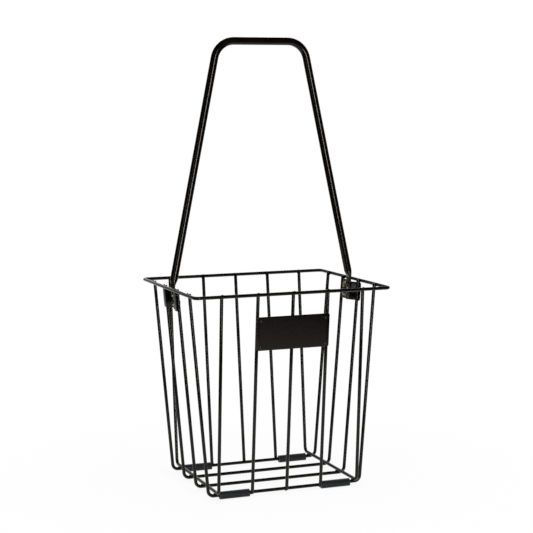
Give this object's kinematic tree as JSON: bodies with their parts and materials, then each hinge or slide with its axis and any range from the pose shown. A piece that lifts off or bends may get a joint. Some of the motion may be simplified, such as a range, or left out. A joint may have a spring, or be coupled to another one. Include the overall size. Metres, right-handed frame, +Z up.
{
  "type": "tennis ball hopper",
  "caption": "Black wire basket for picking up and carrying tennis balls, with a tall bent tube handle bolted inside its ends, push-on feet and a blank name plate.",
  "frame": {"origin": "on the ground, under the middle of the basket", "axes": "+Z up along the handle, +X to the right along the basket's long side, -Y towards the name plate"},
  "size_m": [0.337, 0.2924, 0.7415],
  "materials": {
    "powder_coat": "semi-gloss black powder coat",
    "foot_plastic": "satin moulded blue-black",
    "plate": "satin moulded black",
    "yellow_zinc": "yellow zinc plate",
    "rivet": "black"
  },
  "bodies": {
    "root": {"top_rim": "powder_coat", "runner_wire_1": "powder_coat", "runner_wire_2": "powder_coat", "runner_wire_3": "powder_coat", "runner_wire_4": "powder_coat", "cross_wire_left": "powder_coat", "cross_wire_right": "powder_coat", "front_wire_left": "powder_coat", "front_wire_middle": "powder_coat", "front_wire_right": "powder_coat", "back_wire_left": "powder_coat", "back_wire_middle": "powder_coat", "back_wire_right": "powder_coat", "bracket_left": "powder_coat", "bracket_right": "powder_coat", "handle_tube": "powder_coat", "foot_front_left": "foot_plastic", "foot_front_right": "foot_plastic", "foot_back_left": "foot_plastic", "foot_back_right": "foot_plastic", "screw_left_upper": "yellow_zinc", "screw_left_lower": "yellow_zinc", "screw_right_upper": "yellow_zinc", "screw_right_lower": "yellow_zinc", "washer_left_upper": "yellow_zinc", "washer_left_lower": "yellow_zinc", "washer_right_upper": "yellow_zinc", "washer_right_lower": "yellow_zinc", "nut_left_upper": "yellow_zinc", "nut_left_lower": "yellow_zinc", "nut_right_upper": "yellow_zinc", "nut_right_lower": "yellow_zinc", "plate_rivet_1": "rivet", "plate_rivet_2": "rivet", "plate_rivet_3": "rivet", "plate_rivet_4": "rivet", "name_plate": "plate"}
  },
  "joints": []
}
